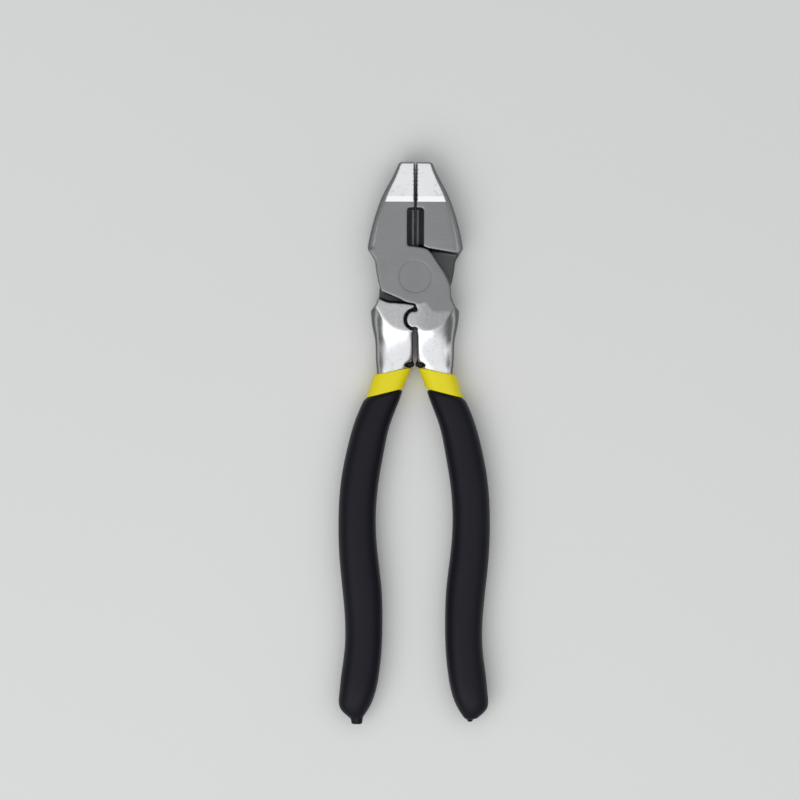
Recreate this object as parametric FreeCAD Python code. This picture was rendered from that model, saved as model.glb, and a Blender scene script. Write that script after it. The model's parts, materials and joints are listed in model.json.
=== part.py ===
import FreeCAD, Part
import math
import os

# Lineman pliers, 9.5 in long, lying flat on the back of the head.
# Millimetres. +Y points to the nose, +Z out of the front face, and the origin is where the
# pivot axis meets the flat back face. The pliers are closed.

# Whole tool
PIVOT_TO_TIP = 49.2
PIVOT_TO_END = 192.1
HEAD_THICKNESS = 15.8
OPENING_ANGLE = 18.0

# Joint between the two halves
LAP_GAP = 0.1            # between the two plates, face to face
PARTING_GAP = 0.4        # between the two jaws
PLATE_TOP_RADIUS = 13.0
PLATE_LOW_RADIUS = 11.7
LAP_CLEARANCE = 0.25     # from a plate's round edge to the other half's shoulder
ROUND_TOP_END = 5.6      # how far from the middle the plate's round top reaches
PLATE_ROOT = (-3.2, 16.0)        # inside the jaw that the plate grows from
LEFT_FLANK_TOP = (-20.1, 11.6)
LEFT_FLANK = ((-17.2, 6.8), (-16.8, 3.0), (-15.9, -1.8), (-14.5, -6.4))
FLANK_END = -6.6                 # where the edge below that flank meets the plate's round edge
RIGHT_FLANK = ((15.4, -7.6), (14.9, -3.2), (14.0, -0.9), (10.1, 5.6), (7.4, 9.8))
PLATE_FOOT = -13.6               # where the plate ends inside the tang
SHOULDER_START = 3.2
SHOULDER_END = (15.7, -9.2)
SHOULDER_CLEARANCE = 0.3         # left under the left flank when the pliers are fully open
NECK_SIDE = ((16.9, -12.2), (24.0, -20.0), (50.0, -60.0))   # outside the neck's own section
NECK_GAP_END = -60.0
RIVET_RADIUS = 5.0
RIVET_HEAD_RADIUS = 6.6
RIVET_HEAD_DEPTH = 2.0
RIVET_CLEARANCE = 0.05   # in the half that turns on the rivet

# Jaws
TIP_HALF_WIDTH = 7.2
TIP_CORNER = 0.9
TIP_CORNER_MIDDLE = (0.15, 0.35)     # from the corner that the rounding cuts off
HEEL_OUTER = (-20.9, 12.4)
HEEL_MIDDLE = (-19.5, 10.7)
HEEL_LOWER = (-18.2, 9.9)
JAW_CROWN_X = 4.0
JAW_CROWN = 8.4          # half thickness that the rounded sides lead up to, cut flat at the faces
JAW_SHAPE = 6.0          # how square the jaw's section is
JAW_STATIONS = (         # height above the pivot, half width
    (52.0, 6.1),
    (48.0, 7.6),
    (42.6, 10.0),
    (35.8, 13.7),
    (31.2, 15.6),
    (23.6, 18.0),
    (17.0, 19.6),
    (12.4, 20.4),
    (4.0, 20.8),
)
NOSE_BEVEL_LENGTH = 16.6
NOSE_BEVEL_DEPTH = 2.6
TOOTH_PITCH = 1.6
TOOTH_DEPTH = 0.5
TOOTH_COUNT = 10
TOOTH_START = 1.7        # from the tip to the first groove

# Knives, in a recess on both faces
RECESS_HALF_WIDTH = 3.3
RECESS_TOP = 29.3
RECESS_WALL = 2.2        # straight wall before the knife's bevel starts
KNIFE_LAND = 1.5         # width of the flatter ground land beside the cutting edge
KNIFE_LAND_RISE = 0.6
KNIFE_EDGE_FLAT = 0.5
KNIFE_GAP = 0.2

# Crimp die below the joint
DIE_CENTRE = -18.3
DIE_BUMP_RADIUS = 3.8
DIE_NEST_RADIUS = 4.7
DIE_RELIEF_RADIUS = 0.9
DIE_RELIEF_REACH = 4.2
DIE_LIP = 1.1            # closed stretch below the die's lower relief
NECK_GAP = 1.9           # between the two necks
CROTCH_Y = -37.8         # oval relief below the necks
CROTCH_HALF_WIDTH = 4.1
CROTCH_HALF_HEIGHT = 1.2
STOP_HALF_HEIGHT = 3.0   # half thickness of the stop that closes the oval at mid thickness
STOP_LOW = -38.6

# Grips: distance below the pivot, centre from the axis, width, thickness
GRIP_STATIONS = (
    (44.0, 10.9, 14.2, 13.0),
    (50.7, 13.25, 14.9, 14.0),
    (57.1, 16.0, 15.6, 15.0),
    (65.6, 19.0, 15.7, 15.4),
    (74.2, 21.0, 16.1, 15.5),
    (87.0, 23.3, 16.3, 15.6),
    (104.0, 24.5, 16.1, 15.6),
    (121.0, 23.7, 16.7, 15.6),
    (134.0, 22.3, 16.9, 15.6),
    (147.0, 21.5, 16.2, 15.4),
    (160.0, 21.7, 16.0, 15.4),
    (172.0, 23.1, 16.2, 15.2),
    (180.0, 24.4, 15.2, 13.8),
    (184.8, 25.3, 12.9, 11.0),
    (187.6, 25.1, 9.0, 8.0),
    (189.6, 24.6, 5.2, 5.0),
)
STATION_SPACING = 2.0    # least distance from the last grip station to a part's own end
SLEEVE_WALL = 2.2
CORE_WALL = 1.4
FIT_GAP = 0.05           # between steel and core, and between core and sleeve
CORE_END = 182.0
TANG_START = 57.0        # where the tang takes over from the neck
TANG_END = 178.0
GRIP_SHAPE = 2.5         # how square the grip's section is; 2 is an ellipse
SLEEVE_TOP_Y = -50.0     # where the sleeve's slanted top crosses its own centre
SLEEVE_TOP_SLOPE = 0.25
SLEEVE_LIP = 1.1         # bevel round the sleeve's top
COLLAR_TOP_Y = -40.4
COLLAR_TOP_SLOPE = 0.2
COLLAR_STATIONS = (
    (36.0, 8.3, 15.0, 12.6),
    (40.0, 9.5, 15.3, 12.8),
    (45.0, 11.2, 14.9, 13.1),
    (50.0, 12.9, 14.8, 13.6),
    (54.0, 14.4, 14.9, 13.8),
)

# The drip at a sleeve's end: end radius, distance below the pivot
NUB_CENTRE = 24.3
NUB_SPREAD = 1.3
RIGHT_NUB = (1.2, 190.9)
LEFT_NUB = (2.4, PIVOT_TO_END)

# Neck and tang: distance below the pivot, inner side, outer side, half thickness, crown, shape
NECK_STATIONS = (
    (3.0, -6.0, 30.0, 30.0, 4.0, 2.4),
    (8.0, -6.0, 23.0, 20.0, 4.0, 2.4),
    (12.5, -6.0, 19.6, 14.0, 4.0, 2.3),
    (18.0, -5.0, 18.8, 9.6, 4.0, 2.2),
    (22.0, -4.0, 18.2, 8.1, 4.0, 2.2),
    (26.0, -3.0, 17.3, 6.8, 4.2, 2.2),
    (30.5, -2.0, 16.9, 6.1, 4.6, 2.3),
    (35.5, -0.6, 16.8, 5.8, 6.0, 2.4),
    (39.5, 2.2, 16.4, 5.5, 9.3, 2.6),
    (44.0, 5.2, 16.2, 5.0, 10.7, 2.6),
    (50.0, 8.9, 17.2, 4.1, 13.1, 2.6),
)

MID = HEAD_THICKNESS / 2.0
HALF_PARTING = PARTING_GAP / 2.0
HALF_NECK_GAP = NECK_GAP / 2.0
SECTION_POINTS = 28
BEYOND = 1.0             # how far a cutting tool reaches past what it cuts
REACH = 30.0             # how far a large cutting tool reaches to each side


def at(point):
    """A plan point as a vector."""
    return FreeCAD.Vector(point[0], point[1], 0)


def line(start, end):
    return Part.LineSegment(at(start), at(end)).toShape()


def arc(start, middle, end):
    return Part.Arc(at(start), at(middle), at(end)).toShape()


def curve(points):
    """A smooth curve through plan points."""
    spline = Part.BSplineCurve()
    spline.interpolate([at(point) for point in points])
    return spline.toShape()


def chain(points):
    """Straight edges from each plan point to the next."""
    return [line(start, end) for start, end in zip(points, points[1:])]


def prism(edges, low, high):
    """A plan outline pulled up from z = low to z = high."""
    face = Part.Face(Part.Wire(edges))
    face.translate(FreeCAD.Vector(0, 0, low))
    return face.extrude(FreeCAD.Vector(0, 0, high - low))


def on_circle(radius, x, side):
    """The point at x on a circle about the pivot, above it (side 1) or below it (side -1)."""
    return (x, side * math.sqrt(radius * radius - x * x))


def between_on_circle(radius, start, end):
    """The point of a circle about the pivot that lies midway between two of its points."""
    x = (start[0] + end[0]) / 2.0
    y = (start[1] + end[1]) / 2.0
    scale = radius / math.hypot(x, y)
    return (x * scale, y * scale)


def pivot_arc(radius, start, end):
    return arc(start, between_on_circle(radius, start, end), end)


def turned(point, degrees):
    """A plan point turned about the pivot."""
    angle = math.radians(degrees)
    x, y = point
    return (x * math.cos(angle) - y * math.sin(angle), x * math.sin(angle) + y * math.cos(angle))


def jaw():
    """The left jaw, full thickness: flat inner face, bowed outer side, shoulder over the joint."""
    arc_radius = PLATE_TOP_RADIUS + LAP_CLEARANCE
    tip_inner = (-HALF_PARTING, PIVOT_TO_TIP)
    tip_corner = (-TIP_HALF_WIDTH + TIP_CORNER, PIVOT_TO_TIP)
    tip_middle = (-TIP_HALF_WIDTH + TIP_CORNER_MIDDLE[0], PIVOT_TO_TIP - TIP_CORNER_MIDDLE[1])
    tip_outer = (-TIP_HALF_WIDTH - TIP_CORNER_MIDDLE[1], PIVOT_TO_TIP - TIP_CORNER)
    arc_outer = on_circle(arc_radius, -ROUND_TOP_END, 1)
    arc_inner = on_circle(arc_radius, -HALF_PARTING, 1)
    edges = [
        line(tip_inner, tip_corner),
        arc(tip_corner, tip_middle, tip_outer),
        line(tip_outer, (HEEL_OUTER[0], tip_outer[1])),
        line((HEEL_OUTER[0], tip_outer[1]), HEEL_OUTER),
        arc(HEEL_OUTER, HEEL_MIDDLE, HEEL_LOWER),
        line(HEEL_LOWER, arc_outer),
        pivot_arc(arc_radius, arc_outer, arc_inner),
        line(arc_inner, tip_inner),
    ]
    sections = [section(-y, -half_width, JAW_CROWN_X, JAW_CROWN - bevel_drop(y), 0.0, JAW_SHAPE)
                for y, half_width in JAW_STATIONS]
    return prism(edges, 0.0, HEAD_THICKNESS).common(loft(sections))


def bevel_drop(y):
    """How far a nose bevel lies below the flat face at this height above the pivot."""
    return max(0.0, y - PIVOT_TO_TIP + NOSE_BEVEL_LENGTH) * NOSE_BEVEL_DEPTH / NOSE_BEVEL_LENGTH


def plate():
    """The front plate of the joint, from the left jaw across the pivot to the right tang."""
    low_start = on_circle(PLATE_LOW_RADIUS, FLANK_END, -1)
    low_end = on_circle(PLATE_LOW_RADIUS, HALF_PARTING, -1)
    top_start = on_circle(PLATE_TOP_RADIUS, ROUND_TOP_END, 1)
    top_end = on_circle(PLATE_TOP_RADIUS, -HALF_PARTING, 1)
    foot = [(HALF_PARTING, PLATE_FOOT), (RIGHT_FLANK[0][0], PLATE_FOOT)]
    edges = chain([PLATE_ROOT, LEFT_FLANK_TOP, LEFT_FLANK[0]])
    edges += [curve(LEFT_FLANK), line(LEFT_FLANK[-1], low_start)]
    edges += [pivot_arc(PLATE_LOW_RADIUS, low_start, low_end)]
    edges += chain([low_end] + foot + [RIGHT_FLANK[0]])
    edges += [curve(RIGHT_FLANK), line(RIGHT_FLANK[-1], top_start)]
    edges += [pivot_arc(PLATE_TOP_RADIUS, top_start, top_end)]
    edges += chain([top_end, PLATE_ROOT])
    return prism(edges, MID + LAP_GAP / 2.0, HEAD_THICKNESS)


def tang_plan():
    """The right neck and tang seen from the front, wider than the steel where the envelope rules."""
    radius = PLATE_LOW_RADIUS + LAP_CLEARANCE
    arc_inner = on_circle(radius, HALF_PARTING, -1)
    arc_outer = on_circle(radius, SHOULDER_START, -1)
    swung = turned(LEFT_FLANK[-1], OPENING_ANGLE)
    shoulder = [arc_outer, (-swung[0], swung[1] - SHOULDER_CLEARANCE), SHOULDER_END]
    outer_end = (NECK_SIDE[-1][0], -PIVOT_TO_END)
    die_top = DIE_CENTRE + DIE_RELIEF_REACH
    die_low = DIE_CENTRE - DIE_RELIEF_REACH - DIE_LIP
    inner_side = [(0.0, -PIVOT_TO_END), (HALF_NECK_GAP, NECK_GAP_END), (HALF_NECK_GAP, die_low),
                  (HALF_PARTING, die_low), (HALF_PARTING, die_top), arc_inner]
    return [pivot_arc(radius, arc_inner, arc_outer)] + chain(shoulder + list(NECK_SIDE) +
                                                             [outer_end] + inner_side)


def closed_section(points):
    spline = Part.BSplineCurve()
    spline.interpolate(points, PeriodicFlag=True)
    return Part.Wire(spline.toShape())


def power(value, exponent):
    return math.copysign(abs(value) ** exponent, value)


def section(distance, inner, outer, half_thickness, crown, shape):
    """A rounded section across the handle, with its highest point at x = crown."""
    points = []
    for index in range(SECTION_POINTS):
        turn = 2.0 * math.pi * index / SECTION_POINTS
        reach = outer - crown if math.cos(turn) > 0 else crown - inner
        x = crown + reach * power(math.cos(turn), 2.0 / shape)
        z = MID + half_thickness * power(math.sin(turn), 2.0 / shape)
        points.append(FreeCAD.Vector(x, -distance, z))
    return closed_section(points)


def even_section(station, shrink, shape=GRIP_SHAPE):
    """A grip station as a section, made smaller all round by shrink."""
    distance, centre, width, thickness = station
    half = width / 2.0 - shrink
    return section(distance, centre - half, centre + half, thickness / 2.0 - shrink, centre, shape)


def loft(sections):
    return Part.makeLoft(sections, True, False)


def along_grip(start, end):
    """Grip stations from start to end, with one worked out at the end itself."""
    last_inside = end - STATION_SPACING
    inside = [station for station in GRIP_STATIONS if start <= station[0] < last_inside]
    before = [station for station in GRIP_STATIONS if station[0] < end][-1]
    after = [station for station in GRIP_STATIONS if station[0] >= end][0]
    share = (end - before[0]) / (after[0] - before[0])
    last = tuple(low + share * (high - low) for low, high in zip(before, after))
    return inside + [last]


def envelope():
    """The forged shape of the right neck, scooped on both faces, running on as the tang."""
    necks = [section(*station) for station in NECK_STATIONS]
    wall = SLEEVE_WALL + CORE_WALL + 2.0 * FIT_GAP
    tangs = [even_section(station, wall) for station in along_grip(TANG_START, TANG_END)]
    return loft(necks + tangs)


def recess(front):
    """The knife's recess in the left jaw, on the front face or on the back one."""
    edge = MID + KNIFE_EDGE_FLAT / 2.0
    profile = [(-RECESS_HALF_WIDTH, HEAD_THICKNESS + BEYOND),
               (-RECESS_HALF_WIDTH, HEAD_THICKNESS - RECESS_WALL),
               (-KNIFE_LAND, edge + KNIFE_LAND_RISE),
               (-KNIFE_GAP / 2.0, edge), (BEYOND, edge), (BEYOND, HEAD_THICKNESS + BEYOND)]
    low = PLATE_TOP_RADIUS + LAP_CLEARANCE if front else 0.0
    corners = [FreeCAD.Vector(x, low, z if front else HEAD_THICKNESS - z) for x, z in profile]
    face = Part.Face(Part.makePolygon(corners + corners[:1]))
    return face.extrude(FreeCAD.Vector(0, RECESS_TOP - low, 0))


def teeth():
    """V grooves across the inner face of the left jaw, from the tip back to the knife."""
    grooves = []
    for index in range(TOOTH_COUNT):
        middle = PIVOT_TO_TIP - TOOTH_START - index * TOOTH_PITCH
        half = TOOTH_PITCH / 2.0
        corners = [(0.0, middle - half), (-HALF_PARTING - TOOTH_DEPTH, middle), (0.0, middle + half)]
        grooves.append(prism(chain(corners + corners[:1]), -BEYOND, HEAD_THICKNESS + BEYOND))
    return grooves


def nose_bevels():
    """Two wedges that thin the jaw towards its tip, one on each face."""
    start = PIVOT_TO_TIP - NOSE_BEVEL_LENGTH
    far = PIVOT_TO_TIP + BEYOND
    drop = bevel_drop(far)
    wedges = []
    for face_z, side in ((HEAD_THICKNESS, 1), (0.0, -1)):
        side_view = [(start, face_z), (far, face_z - side * drop), (far, face_z + side),
                     (start, face_z + side)]
        corners = [FreeCAD.Vector(-REACH, y, z) for y, z in side_view]
        face = Part.Face(Part.makePolygon(corners + corners[:1]))
        wedges.append(face.extrude(FreeCAD.Vector(2.0 * REACH, 0, 0)))
    return wedges


def crotch(half_height):
    """The oval where the two necks part, reaching half_height each way from mid thickness."""
    foot = FreeCAD.Vector(0, CROTCH_Y, MID - half_height)
    oval = Part.Ellipse(foot, CROTCH_HALF_WIDTH, CROTCH_HALF_HEIGHT).toShape()
    return Part.Face(Part.Wire(oval)).extrude(FreeCAD.Vector(0, 0, 2.0 * half_height))


def stop():
    """The right neck's half of the stop in the oval, where the closed necks meet."""
    corner = FreeCAD.Vector(HALF_PARTING, STOP_LOW, 0)
    return crotch(STOP_HALF_HEIGHT).common(Part.makeBox(REACH, REACH, HEAD_THICKNESS, corner))


def lever():
    """One forged half without its rivet hole and crimp die: left jaw, front plate, right tang."""
    tang = prism(tang_plan(), 0.0, HEAD_THICKNESS).common(envelope()).cut(crotch(MID + BEYOND))
    solid = jaw().fuse([plate(), tang])
    solid = solid.cut([recess(True), recess(False)] + teeth() + nose_bevels())
    solid = solid.fuse(stop())
    return solid.removeSplitter()


def mirrored(solid):
    """The same shape turned half a turn about the tool's long axis at mid thickness."""
    flipped = solid.copy()
    flipped.rotate(FreeCAD.Vector(0, 0, MID), FreeCAD.Vector(0, 1, 0), 180)
    return flipped


def upright(radius, x, y):
    """A cylinder through the whole thickness."""
    foot = FreeCAD.Vector(x, y, -BEYOND)
    return Part.makeCylinder(radius, HEAD_THICKNESS + 2.0 * BEYOND, foot)


def die_reliefs():
    """Small round ends of the crimp gap, above and below the die."""
    places = (DIE_CENTRE + DIE_RELIEF_REACH, DIE_CENTRE - DIE_RELIEF_REACH)
    return [upright(DIE_RELIEF_RADIUS, 0.0, y) for y in places]


def rivet(clearance):
    """A rivet countersunk into both faces and ground flush, grown by clearance for its hole."""
    reach = BEYOND if clearance else 0.0
    top = HEAD_THICKNESS + reach
    spread = (RIVET_HEAD_RADIUS - RIVET_RADIUS) / RIVET_HEAD_DEPTH
    head = RIVET_HEAD_RADIUS + clearance + spread * reach
    shank = RIVET_RADIUS + clearance
    profile = [(0.0, -reach), (head, -reach), (shank, RIVET_HEAD_DEPTH),
               (shank, HEAD_THICKNESS - RIVET_HEAD_DEPTH), (head, top), (0.0, top)]
    corners = [FreeCAD.Vector(x, 0, z) for x, z in profile]
    face = Part.Face(Part.makePolygon(corners + corners[:1]))
    return face.revolve(FreeCAD.Vector(0, 0, 0), FreeCAD.Vector(0, 0, 1), 360)


def front_lever():
    bump = Part.makeCylinder(DIE_BUMP_RADIUS, HEAD_THICKNESS, FreeCAD.Vector(0, DIE_CENTRE, 0))
    solid = lever().fuse(bump)
    return solid.cut([rivet(RIVET_CLEARANCE)] + die_reliefs()).removeSplitter()


def rear_lever():
    nest = upright(DIE_NEST_RADIUS, 0.0, DIE_CENTRE)
    return mirrored(lever()).cut([rivet(0.0), nest] + die_reliefs())


def slanted_block(y_at_axis, slope, centre):
    """Everything below a slanted plane that crosses the grip at its centre."""
    near = (centre - REACH, y_at_axis + REACH * slope)
    far = (centre + REACH, y_at_axis - REACH * slope)
    end = -PIVOT_TO_END - REACH
    corners = [near, far, (far[0], end), (near[0], end)]
    return prism(chain(corners + corners[:1]), -REACH, HEAD_THICKNESS + REACH)


def below_sleeve_top():
    return slanted_block(SLEEVE_TOP_Y, SLEEVE_TOP_SLOPE, GRIP_STATIONS[1][1])


def inner_tube(grow):
    """The thin part of the core that lies inside the sleeve, grown by grow."""
    shrink = SLEEVE_WALL + FIT_GAP - grow
    return loft([even_section(station, shrink) for station in along_grip(GRIP_STATIONS[0][0], CORE_END)])


def grip_core():
    """Yellow inner sleeve on the right tang, with its flared collar above the black sleeve."""
    collar = loft([even_section(station, 0.0) for station in COLLAR_STATIONS])
    collar = collar.common(slanted_block(COLLAR_TOP_Y, COLLAR_TOP_SLOPE, COLLAR_STATIONS[1][1]))
    collar = collar.cut(below_sleeve_top())
    tube = inner_tube(0.0).common(below_sleeve_top())
    steel = prism(tang_plan(), 0.0, HEAD_THICKNESS).common(grown_envelope())
    return collar.fuse(tube).cut(steel).removeSplitter()


def grown_envelope():
    """The neck and tang made larger all round by the fit gap, for the core's pocket."""
    necks = []
    for distance, inner, outer, half_thickness, crown, shape in NECK_STATIONS:
        grown = half_thickness + FIT_GAP
        necks.append(section(distance, inner - FIT_GAP, outer + FIT_GAP, grown, crown, shape))
    wall = SLEEVE_WALL + CORE_WALL + FIT_GAP
    tangs = [even_section(station, wall) for station in along_grip(TANG_START, TANG_END + FIT_GAP)]
    return loft(necks + tangs)


def grip_sleeve(nub_radius, nub_end):
    """Black outer sleeve on the right handle, with the drip at its end."""
    body = loft([even_section(station, 0.0) for station in GRIP_STATIONS])
    body = body.common(slanted_block(SLEEVE_TOP_Y - FIT_GAP, SLEEVE_TOP_SLOPE, GRIP_STATIONS[1][1]))
    rim = [edge for edge in body.Edges if on_sleeve_top(edge)]
    body = body.makeChamfer(SLEEVE_LIP, rim)
    nub_top = -GRIP_STATIONS[-3][0]
    foot = FreeCAD.Vector(NUB_CENTRE, nub_top, MID)
    down = FreeCAD.Vector(0, -1, 0)
    nub = Part.makeCone(nub_radius * NUB_SPREAD, nub_radius, nub_top + nub_end, foot, down)
    return body.fuse(nub).cut(inner_tube(FIT_GAP)).removeSplitter()


def on_sleeve_top(edge):
    """True for the edges round the sleeve's slanted top."""
    middle = edge.valueAt((edge.FirstParameter + edge.LastParameter) / 2.0)
    top = SLEEVE_TOP_Y - FIT_GAP - SLEEVE_TOP_SLOPE * (middle.x - GRIP_STATIONS[1][1])
    return abs(middle.y - top) < FIT_GAP / 2.0


def save(name, solid):
    solids = solid.Solids
    assert len(solids) == 1 and solid.isValid(), name
    solids[0].exportStep("parts/" + name + ".step")
    print(name, round(solids[0].Volume), "mm3")


def main():
    os.makedirs("parts", exist_ok=True)
    save("front_lever", front_lever())
    save("rear_lever", rear_lever())
    save("pivot_rivet", rivet(0.0))
    core = grip_core()
    save("right_grip_core", core)
    save("left_grip_core", mirrored(core))
    save("right_grip_sleeve", grip_sleeve(*RIGHT_NUB))
    save("left_grip_sleeve", mirrored(grip_sleeve(*LEFT_NUB)))


main()
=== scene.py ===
import json
import math

import bmesh
import bpy
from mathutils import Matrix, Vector


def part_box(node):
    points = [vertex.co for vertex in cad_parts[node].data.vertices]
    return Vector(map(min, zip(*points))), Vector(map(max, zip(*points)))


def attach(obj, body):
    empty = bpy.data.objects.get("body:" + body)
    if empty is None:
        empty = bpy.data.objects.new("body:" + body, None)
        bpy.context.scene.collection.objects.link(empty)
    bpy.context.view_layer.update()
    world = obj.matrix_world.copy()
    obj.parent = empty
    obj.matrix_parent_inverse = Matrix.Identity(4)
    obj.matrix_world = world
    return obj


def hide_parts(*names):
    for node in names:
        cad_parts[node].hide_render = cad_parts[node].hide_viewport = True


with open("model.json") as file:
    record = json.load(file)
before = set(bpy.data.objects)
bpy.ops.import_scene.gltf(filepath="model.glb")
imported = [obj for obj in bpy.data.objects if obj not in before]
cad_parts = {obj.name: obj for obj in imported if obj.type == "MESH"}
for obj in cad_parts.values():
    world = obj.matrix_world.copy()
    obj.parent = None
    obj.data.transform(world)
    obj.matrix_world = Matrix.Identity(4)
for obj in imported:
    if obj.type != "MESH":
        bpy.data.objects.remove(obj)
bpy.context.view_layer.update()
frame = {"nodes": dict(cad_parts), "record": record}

MM = 0.001

# Lineman pliers lying on their back: +Y is the nose, +Z the front face. Lengths are in metres.
# The frame's own sizes place everything. These are the head's details that the finish follows.
HEAD_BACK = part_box("rear_lever")[0].z
HEAD_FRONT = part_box("rear_lever")[1].z
HEAD_MIDDLE = (HEAD_BACK + HEAD_FRONT) / 2
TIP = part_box("rear_lever")[1].y
BEVEL_LENGTH = 16.6 * MM
BEVEL_DEPTH = 2.6 * MM
POLISH_LENGTH = 17.3 * MM    # from the tip to the start of the polish, just past the bevel's foot
POLISH_EDGE = 0.25 * MM      # over which that polish comes in
LIP_LENGTH = 2.2 * MM    # band along the start of that polish with a painted highlight, where the bevel's foot rounds over
LIP_FADE_END = LIP_LENGTH * 1.25
NECK_START = -12.5 * MM  # the finish below this height is polished where it leaves the flat
NECK_FADE = 2.0 * MM
FACE_SKIN = (0.12 * MM, 0.50 * MM)       # depth over which a face's finish gives way
LEVEL_TILT = (0.50, 0.80)                # upward part of the normal, from a side's to a face's
LAP_DEPTH = 4.0 * MM     # deeper than this below the face, level steel gets a painted shade, as in the lap's narrow recesses
RECESS_SIDE = 3.4 * MM   # half width of the knives' recess
RECESS_EDGE = 0.2 * MM
PLATE_TOP = 13.0 * MM
PLATE_TOP_EDGE = 0.3 * MM
PLATE_LOW_RADIUS = 11.7 * MM
PLATE_TURN = (2.5 * MM, 8.5 * MM)        # across the plate, where its satin flat drops lower
PLATE_ENDS = (-8.9 * MM, -14.6 * MM)     # the flat's lower end before and after that turn
DIE_CENTRE = -18.3 * MM
OVAL_CENTRE = -37.8 * MM     # oval between the necks, where the steel is painted near black as a shadow
OVAL_HALF_WIDTH = 4.1 * MM
OVAL_HALF_HEIGHT = 1.2 * MM
RIVET_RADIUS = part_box("pivot_rivet")[1].x
RIVET_SPREAD = 0.22 * MM     # how far the set rivet fills past its drawn rim
RIVET_EDGE = 0.03 * MM       # bevel round the rivet's flush faces
RIVET_RIM_DEPTH = 0.3 * MM
RIVET_HEAD_DEPTH = 2.2 * MM
RIVET_SHANK_SHARE = 0.76     # of the rim's radius
RIVET_TURNS = 96
WELD = 0.001 * MM            # the rivet's points closer than this become one

STEEL_VOXEL = 0.28 * MM
GRIP_VOXEL = 0.45 * MM
CORE_VOXEL = 0.35 * MM

# Steel tones from dark to light, roughness from smooth to rough
SATIN_TONES = (0.19, 0.30)
PIT_TONE = 0.09
PIT_SHARE = 0.5          # how strongly a pit shows
LEFT_SCOOP_TONES = (0.34, 0.60)
RIGHT_SCOOP_TONES = (0.26, 0.46)
SIDE_TONES = (0.10, 0.19)
OPEN_TONES = (0.40, 0.62)
# painted shade for level steel deep in the lap's recesses
RECESS_SHADE_TONE = 0.09
BRIGHT_TONES = (0.70, 0.86)
SPECK_TONE = 0.42
SPECK_SHARE = 0.35
# painted highlight along the foot of the nose bevel
LIP_HIGHLIGHT_TONE = 0.95
# painted shadow in the oval between the necks
OVAL_SHADOW_TONE = 0.03
SATIN_ROUGH = (0.32, 0.46)
SIDE_ROUGH = (0.34, 0.50)
BRIGHT_ROUGH = (0.17, 0.28)
OVAL_ROUGH = 0.65
LINE_DEPTHS = (0.006 * MM, 0.0008 * MM)  # grinding lines, on ground and on polished steel
WAVE_DEPTHS = (0.02 * MM, 0.008 * MM)    # slow waves, likewise

FLOOR_HALF = 2.0
CAMERA_DISTANCE = 1.6    # above the front face
CAMERA_X = -6.3 * MM
CAMERA_Y = -52.8 * MM
CAMERA_ROLL = 0.23       # degrees
VIEW_WIDTH = 0.342
SENSOR_WIDTH = 36.0      # millimetres, like the lens
AIM = (0.0, -0.05, 0.0)  # what every light points at

# The studio dome, by the height of a direction's tip on the unit sphere
DOME_DARK_BELOW = 0.45
DOME_BRIGHT_ABOVE = 0.88
WALL_GLOW = 0.12
DOME_GLOW = 1.0


# Shader helpers

class Shader:
    """A node material, with short calls for the nodes that it uses."""

    def __init__(self, name):
        self.material = bpy.data.materials.new(name)
        self.material.use_nodes = True
        self.tree = self.material.node_tree
        self.surface = self.tree.nodes["Principled BSDF"]

    def node(self, kind, **values):
        made = self.tree.nodes.new(kind)
        for key, value in values.items():
            setattr(made, key, value)
        return made

    def feed(self, socket, value):
        if hasattr(value, "is_output"):
            self.tree.links.new(value, socket)
        else:
            socket.default_value = value

    def math(self, operation, first, second=0.0):
        made = self.node("ShaderNodeMath", operation=operation)
        self.feed(made.inputs[0], first)
        self.feed(made.inputs[1], second)
        return made.outputs[0]

    def ramp(self, value, low, high, at_low=0.0, at_high=1.0):
        """Smoothly from at_low to at_high as value goes from low to high."""
        made = self.node("ShaderNodeMapRange", interpolation_type="SMOOTHSTEP")
        for socket, setting in zip(made.inputs, (value, low, high, at_low, at_high)):
            self.feed(socket, setting)
        return made.outputs[0]

    def mix(self, share, first, second):
        made = self.node("ShaderNodeMix", data_type="FLOAT")
        for index, value in ((0, share), (2, first), (3, second)):
            self.feed(made.inputs[index], value)
        return made.outputs[0]

    def mix_colour(self, share, first, second):
        made = self.node("ShaderNodeMix", data_type="RGBA")
        for index, value in ((0, share), (6, first), (7, second)):
            self.feed(made.inputs[index], value)
        return made.outputs[2]

    def tones(self, share, pair):
        """A grey between the two of a pair."""
        return self.mix_colour(share, grey(pair[0]), grey(pair[1]))

    def place(self):
        """The point's own place in the frame, which moves with the piece."""
        return self.node("ShaderNodeTexCoord").outputs["Object"]

    def split(self, vector):
        made = self.node("ShaderNodeSeparateXYZ")
        self.feed(made.inputs[0], vector)
        return made.outputs

    def stretched(self, vector, scale):
        made = self.node("ShaderNodeMapping")
        self.feed(made.inputs["Vector"], vector)
        made.inputs["Scale"].default_value = scale
        return made.outputs[0]

    def noise(self, vector, scale, detail, roughness):
        made = self.node("ShaderNodeTexNoise")
        self.feed(made.inputs["Vector"], vector)
        made.inputs["Scale"].default_value = scale
        made.inputs["Detail"].default_value = detail
        made.inputs["Roughness"].default_value = roughness
        return made.outputs[0]

    def bump(self, height, distance, under=None):
        made = self.node("ShaderNodeBump")
        self.feed(made.inputs["Height"], height)
        self.feed(made.inputs["Distance"], distance)
        made.inputs["Strength"].default_value = 1.0
        if under is not None:
            self.feed(made.inputs["Normal"], under)
        return made.outputs[0]

    def finish(self, colour, roughness, normal=None):
        self.feed(self.surface.inputs["Base Color"], colour)
        self.feed(self.surface.inputs["Roughness"], roughness)
        if normal is not None:
            self.feed(self.surface.inputs["Normal"], normal)
        return self.material


def grey(value):
    return (value, value * 1.005, value * 1.015, 1.0)


# Materials

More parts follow.
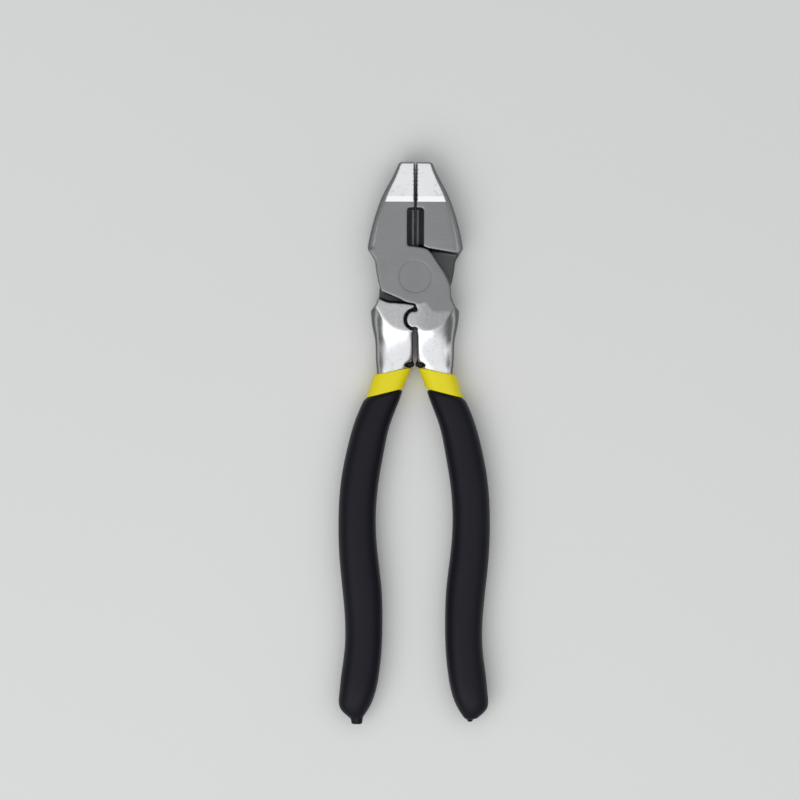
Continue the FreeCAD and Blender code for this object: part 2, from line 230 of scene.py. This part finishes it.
def steel():
    """Forged tool steel: ground satin flats, polished nose bevels and necks, darker sides."""
    shader = Shader("tool_steel")
    shader.surface.inputs["Metallic"].default_value = 1.0
    place = shader.place()
    x, y, z = shader.split(place)
    above_middle = shader.math("SUBTRACT", z, HEAD_MIDDLE)
    from_middle = shader.math("ABSOLUTE", above_middle)
    past_bevel = shader.math("MAXIMUM", shader.math("SUBTRACT", y, TIP - BEVEL_LENGTH), 0.0)
    drop = shader.math("MULTIPLY", past_bevel, BEVEL_DEPTH / BEVEL_LENGTH)
    face_height = shader.math("SUBTRACT", (HEAD_FRONT - HEAD_BACK) / 2, drop)
    below_face = shader.math("SUBTRACT", face_height, from_middle)
    steepness = shader.split(shader.node("ShaderNodeNewGeometry").outputs["Normal"])[2]
    level = shader.ramp(shader.math("ABSOLUTE", steepness), *LEVEL_TILT)
    on_face = shader.ramp(below_face, *FACE_SKIN, 1.0, 0.0)
    flat = shader.math("MULTIPLY", on_face, level)
    past_polish = shader.math("SUBTRACT", y, TIP - POLISH_LENGTH)
    nose = shader.math("MULTIPLY", flat, shader.ramp(past_polish, 0.0, POLISH_EDGE))
    # A painted highlight along the bevel's foot stands in for the light that its rounding catches.
    in_lip = shader.ramp(past_polish, LIP_LENGTH, LIP_FADE_END, 1.0, 0.0)
    lip_highlight = shader.math("MULTIPLY", nose, in_lip)
    below_neck = shader.ramp(y, NECK_START, NECK_START - NECK_FADE)
    scooped = shader.math("MULTIPLY", below_neck, shader.math("SUBTRACT", 1.0, on_face))
    neck = shader.math("MULTIPLY", scooped, level)
    polished = shader.math("MAXIMUM", nose, neck)

    # On each face the plate's satin flat ends at the shoulder on one side, lower down on the other.
    plate_side = shader.math("MULTIPLY", x, shader.math("SIGN", above_middle))
    plate_end = shader.ramp(plate_side, *PLATE_TURN, *PLATE_ENDS)
    under_plate = shader.ramp(shader.math("SUBTRACT", plate_end, y), -0.6 * MM, 1.6 * MM)
    squares = shader.math("ADD", shader.math("MULTIPLY", x, x), shader.math("MULTIPLY", y, y))
    from_pivot = shader.math("SQRT", squares)
    past_plate = shader.ramp(from_pivot, PLATE_LOW_RADIUS - 0.3 * MM, PLATE_LOW_RADIUS + 0.5 * MM)
    under_plate = shader.math("MULTIPLY", shader.math("MULTIPLY", under_plate, past_plate), flat)
    right_share = shader.ramp(plate_side, -1.0 * MM, 6.0 * MM)

    # Level steel deep in the lap's recesses, outside the knives' recess and above the necks, gets a
    # painted shade.
    deep = shader.ramp(below_face, LAP_DEPTH * 0.9, LAP_DEPTH)
    above_neck = shader.math("SUBTRACT", 1.0, below_neck)
    beside_knife = shader.ramp(shader.math("ABSOLUTE", x), RECESS_SIDE, RECESS_SIDE + RECESS_EDGE)
    below_knife = shader.ramp(y, PLATE_TOP, PLATE_TOP - PLATE_TOP_EDGE)
    recess_shade = shader.math("MULTIPLY", shader.math("MAXIMUM", beside_knife, below_knife), above_neck)
    recess_shade = shader.math("MULTIPLY", shader.math("MULTIPLY", deep, recess_shade), level)
    # The steel round the oval between the necks is painted near black, a painted shadow.
    across = shader.math("DIVIDE", x, OVAL_HALF_WIDTH)
    along = shader.math("DIVIDE", shader.math("SUBTRACT", y, OVAL_CENTRE), OVAL_HALF_HEIGHT)
    across_squared = shader.math("MULTIPLY", across, across)
    oval = shader.math("ADD", across_squared, shader.math("MULTIPLY", along, along))
    in_oval_shadow = shader.ramp(oval, 1.5, 1.15)

    lines = shader.noise(shader.stretched(place, (60, 3800, 400)), 1.0, 3.0, 0.6)
    cross = shader.noise(shader.stretched(place, (900, 900, 900)), 1.0, 4.0, 0.6)
    cloud = shader.noise(place, 90.0, 4.0, 0.55)
    pits = shader.ramp(shader.noise(place, 1500.0, 2.0, 0.7), 0.66, 0.74)

    satin_tone = shader.tones(shader.mix(0.5, lines, cloud), SATIN_TONES)
    pit_share = shader.math("MULTIPLY", pits, PIT_SHARE)
    satin_tone = shader.mix_colour(pit_share, satin_tone, grey(PIT_TONE))
    left_tone = shader.tones(cross, LEFT_SCOOP_TONES)
    right_tone = shader.tones(cross, RIGHT_SCOOP_TONES)
    under_tone = shader.mix_colour(right_share, left_tone, right_tone)
    satin_tone = shader.mix_colour(under_plate, satin_tone, under_tone)
    side_tone = shader.tones(cross, SIDE_TONES)
    open_tone = shader.tones(cross, OPEN_TONES)
    body_tone = shader.mix_colour(level, side_tone, open_tone)
    # painted shade in the lap's deep recesses
    body_tone = shader.mix_colour(recess_shade, body_tone, grey(RECESS_SHADE_TONE))
    body_tone = shader.mix_colour(flat, body_tone, satin_tone)
    bright_tone = shader.tones(cloud, BRIGHT_TONES)
    specks = shader.ramp(shader.noise(place, 620.0, 3.0, 0.6), 0.58, 0.70)
    speck_share = shader.math("MULTIPLY", specks, SPECK_SHARE)
    bright_tone = shader.mix_colour(speck_share, bright_tone, grey(SPECK_TONE))
    # painted highlight along the bevel's foot
    bright_tone = shader.mix_colour(lip_highlight, bright_tone, grey(LIP_HIGHLIGHT_TONE))
    colour = shader.mix_colour(polished, body_tone, bright_tone)
    # painted shadow over the oval between the necks
    colour = shader.mix_colour(in_oval_shadow, colour, grey(OVAL_SHADOW_TONE))

    satin_rough = shader.mix(lines, *SATIN_ROUGH)
    side_rough = shader.mix(cross, *SIDE_ROUGH)
    body_rough = shader.mix(flat, side_rough, satin_rough)
    bright_rough = shader.mix(cross, *BRIGHT_ROUGH)
    roughness = shader.mix(polished, body_rough, bright_rough)
    roughness = shader.mix(in_oval_shadow, roughness, OVAL_ROUGH)

    normal = shader.bump(lines, shader.mix(polished, *LINE_DEPTHS))
    normal = shader.bump(cloud, shader.mix(polished, *WAVE_DEPTHS), normal)
    return shader.finish(colour, roughness, normal)


def vinyl(name, low, high, rough_low, rough_high, grain_depth, specular):
    """Dipped vinyl: an even skin with a fine grain, slow waves and slightly uneven gloss."""
    shader = Shader(name)
    shader.surface.inputs["Specular IOR Level"].default_value = specular
    place = shader.place()
    cloud = shader.noise(place, 60.0, 4.0, 0.6)
    grain = shader.noise(place, 3200.0, 2.0, 0.5)
    handled = shader.noise(shader.stretched(place, (160, 45, 160)), 1.0, 3.0, 0.6)
    colour = shader.mix_colour(shader.mix(0.35, cloud, grain), low, high)
    roughness = shader.mix(shader.mix(0.4, handled, grain), rough_low, rough_high)
    normal = shader.bump(grain, grain_depth)
    normal = shader.bump(cloud, 0.12 * MM, normal)
    return shader.finish(colour, roughness, normal)


def floor_paper():
    shader = Shader("pale_floor")
    cloud = shader.noise(shader.place(), 3.0, 3.0, 0.5)
    colour = shader.mix_colour(cloud, (0.80, 0.80, 0.79, 1), (0.84, 0.84, 0.83, 1))
    return shader.finish(colour, 0.85)


# Pieces

def link(name, data):
    made = bpy.data.objects.new(name, data)
    bpy.context.scene.collection.objects.link(made)
    return made


def applied(rough):
    """The object's mesh with its modifiers applied; the object itself goes."""
    graph = bpy.context.evaluated_depsgraph_get()
    mesh = bpy.data.meshes.new_from_object(rough.evaluated_get(graph))
    bpy.data.objects.remove(rough)
    return mesh


def evened(node, voxel, softenings):
    """The shape of a CAD node in small even faces, its edges softened as by grinding or dipping.

    Each softening is a number of passes and a function that says how far a point takes part.
    """
    rough = link(node + "_even", frame["nodes"][node].data.copy())
    remesh = rough.modifiers.new("even", "REMESH")
    remesh.mode = "VOXEL"
    remesh.voxel_size = voxel
    rough = link(node + "_soft", applied(rough))
    for index, (passes, share) in enumerate(softenings):
        name = "soften_" + str(index)
        soften = rough.modifiers.new(name, "SMOOTH")
        soften.factor = 0.5
        soften.iterations = passes
        soften.vertex_group = name
        weigh(rough, name, share)
    mesh = applied(rough)
    mesh.materials.clear()
    mesh.polygons.foreach_set("use_smooth", [True] * len(mesh.polygons))
    mesh.update()
    return mesh


def weigh(piece, name, share):
    """A vertex group that holds share(point) for each vertex, in steps of a tenth."""
    group = piece.vertex_groups.new(name=name)
    steps = {}
    for vertex in piece.data.vertices:
        steps.setdefault(round(share(vertex.co) * 10), []).append(vertex.index)
    for step, vertices in steps.items():
        group.add(vertices, step / 10, "REPLACE")


def between(value, low, high):
    return min(max((value - low) / (high - low), 0.0), 1.0)


def everywhere(point):
    return 1.0


def away_from_rivet(point):
    """0 round the rivet's hole, so that the rivet stays a tight fit in it."""
    return between(math.hypot(point.x, point.y), RIVET_RADIUS + 0.8 * MM, RIVET_RADIUS + 2.0 * MM)


def on_jaw_side(point):
    """1 on the jaws' bowed outer sides, 0 at the teeth, knives and shoulders."""
    up = between(point.y, PLATE_TOP + 1 * MM, PLATE_TOP + 3 * MM)
    return up * between(abs(point.x), RECESS_SIDE + 0.8 * MM, RECESS_SIDE + 2 * MM)


def on_neck(point):
    """1 on the polished necks, 0 on the head and near the crimp die."""
    down = between(-point.y, -NECK_START, -NECK_START + 5 * MM)
    from_die = math.hypot(point.x, point.y - DIE_CENTRE)
    from_gap = between(abs(point.x), 1.2 * MM, 3.0 * MM)
    from_oval = between(math.hypot(point.x, 2 * (point.y - OVAL_CENTRE)), 5.0 * MM, 7.5 * MM)
    return down * from_gap * from_oval * between(from_die, 5.5 * MM, 8.0 * MM)


def stand_in(node, body, mesh, material):
    """A finished piece that rides on its body in place of a CAD node."""
    piece = link(node + "_finished", mesh)
    mesh.materials.append(material)
    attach(piece, body)
    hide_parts(node)


def body_of(node):
    bodies = frame["record"]["behaviour"]["bodies"]
    return next(body for body, nodes in bodies.items() if node in nodes)


def pliers():
    steel_material = steel()
    black = vinyl("black_vinyl", (0.005, 0.005, 0.009, 1), (0.010, 0.010, 0.017, 1),
                  0.38, 0.54, 0.010 * MM, 0.18)
    yellow = vinyl("yellow_vinyl", (0.86, 0.73, 0.012, 1), (0.95, 0.83, 0.022, 1),
                   0.34, 0.46, 0.006 * MM, 0.25)
    steel_softenings = ((3, away_from_rivet), (40, on_neck), (10, on_jaw_side))
    for node in ("front_lever", "rear_lever"):
        mesh = evened(node, STEEL_VOXEL, steel_softenings)
        stand_in(node, body_of(node), mesh, steel_material)
    for side in ("left", "right"):
        core = side + "_grip_core"
        sleeve = side + "_grip_sleeve"
        core_mesh = evened(core, CORE_VOXEL, ((4, everywhere),))
        sleeve_mesh = evened(sleeve, GRIP_VOXEL, ((10, everywhere),))
        stand_in(core, body_of(core), core_mesh, yellow)
        stand_in(sleeve, body_of(sleeve), sleeve_mesh, black)
    stand_in("pivot_rivet", body_of("pivot_rivet"), rivet_mesh(), steel_material)


def rivet_mesh():
    """The rivet, ground flush, just wide enough to close the countersink that it fills."""
    rim = RIVET_RADIUS + RIVET_SPREAD
    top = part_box("pivot_rivet")[1].z - HEAD_MIDDLE
    profile = [(0.0, top), (rim - RIVET_EDGE, top), (rim, top - RIVET_EDGE),
               (rim, top - RIVET_RIM_DEPTH), (rim * RIVET_SHANK_SHARE, top - RIVET_HEAD_DEPTH)]
    rings = profile + [(radius, -height) for radius, height in reversed(profile)]
    corners = []
    for radius, height in rings:
        for turn in range(RIVET_TURNS):
            angle = 2 * math.pi * turn / RIVET_TURNS
            x, y = radius * math.cos(angle), radius * math.sin(angle)
            corners.append((x, y, HEAD_MIDDLE + height))
    faces = []
    for ring in range(len(rings) - 1):
        here, next_ring = ring * RIVET_TURNS, (ring + 1) * RIVET_TURNS
        for turn in range(RIVET_TURNS):
            after = (turn + 1) % RIVET_TURNS
            faces.append((here + turn, next_ring + turn, next_ring + after, here + after))
    mesh = bpy.data.meshes.new("rivet")
    mesh.from_pydata(corners, [], faces)
    shape = bmesh.new()
    shape.from_mesh(mesh)
    bmesh.ops.remove_doubles(shape, verts=shape.verts, dist=WELD)
    bmesh.ops.recalc_face_normals(shape, faces=shape.faces)
    shape.to_mesh(mesh)
    shape.free()
    return mesh


# Stage

def floor():
    mesh = bpy.data.meshes.new("floor")
    signs = ((-1, -1), (1, -1), (1, 1), (-1, 1))
    corners = [(FLOOR_HALF * x, FLOOR_HALF * y, 0) for x, y in signs]
    mesh.from_pydata(corners, [], [(0, 1, 2, 3)])
    mesh.materials.append(floor_paper())
    link("floor", mesh)


def area_light(name, place, width, height, power):
    data = bpy.data.lights.new(name, "AREA")
    data.shape = "RECTANGLE"
    data.size = width
    data.size_y = height
    data.energy = power
    light = link(name, data)
    light.location = place
    light.rotation_euler = (Vector(AIM) - Vector(place)).to_track_quat("-Z", "Y").to_euler()


def sky():
    """A studio dome: bright overhead, darker towards the walls."""
    world = bpy.data.worlds.new("studio")
    bpy.context.scene.world = world
    world.use_nodes = True
    nodes = world.node_tree.nodes
    direction = nodes.new("ShaderNodeTexCoord")
    split = nodes.new("ShaderNodeSeparateXYZ")
    glow = nodes.new("ShaderNodeMapRange")
    glow.interpolation_type = "SMOOTHSTEP"
    glow.inputs["From Min"].default_value = DOME_DARK_BELOW
    glow.inputs["From Max"].default_value = DOME_BRIGHT_ABOVE
    glow.inputs["To Min"].default_value = WALL_GLOW
    glow.inputs["To Max"].default_value = DOME_GLOW
    background = nodes["Background"]
    background.inputs["Color"].default_value = (0.97, 0.985, 1.0, 1)
    world.node_tree.links.new(direction.outputs["Generated"], split.inputs[0])
    world.node_tree.links.new(split.outputs["Z"], glow.inputs["Value"])
    world.node_tree.links.new(glow.outputs[0], background.inputs["Strength"])


def studio():
    sky()
    area_light("key_softbox", (-0.55, -1.00, 1.20), 1.7, 1.2, 9.0)
    area_light("left_strip", (-1.05, -0.05, 0.50), 0.10, 1.0, 0.12)
    area_light("right_strip", (1.05, -0.05, 0.50), 0.10, 1.0, 0.35)


def camera():
    """Straight down on the front face from far off, with the pivot above and right of the middle."""
    data = bpy.data.cameras.new("camera")
    data.sensor_width = SENSOR_WIDTH
    data.lens = SENSOR_WIDTH * CAMERA_DISTANCE / VIEW_WIDTH
    made = link("camera", data)
    made.location = (CAMERA_X, CAMERA_Y, HEAD_FRONT + CAMERA_DISTANCE)
    made.rotation_euler = (0.0, 0.0, math.radians(CAMERA_ROLL))
    bpy.context.scene.camera = made


pliers()
floor()
studio()
camera()
bpy.context.scene.view_settings.view_transform = "Standard"
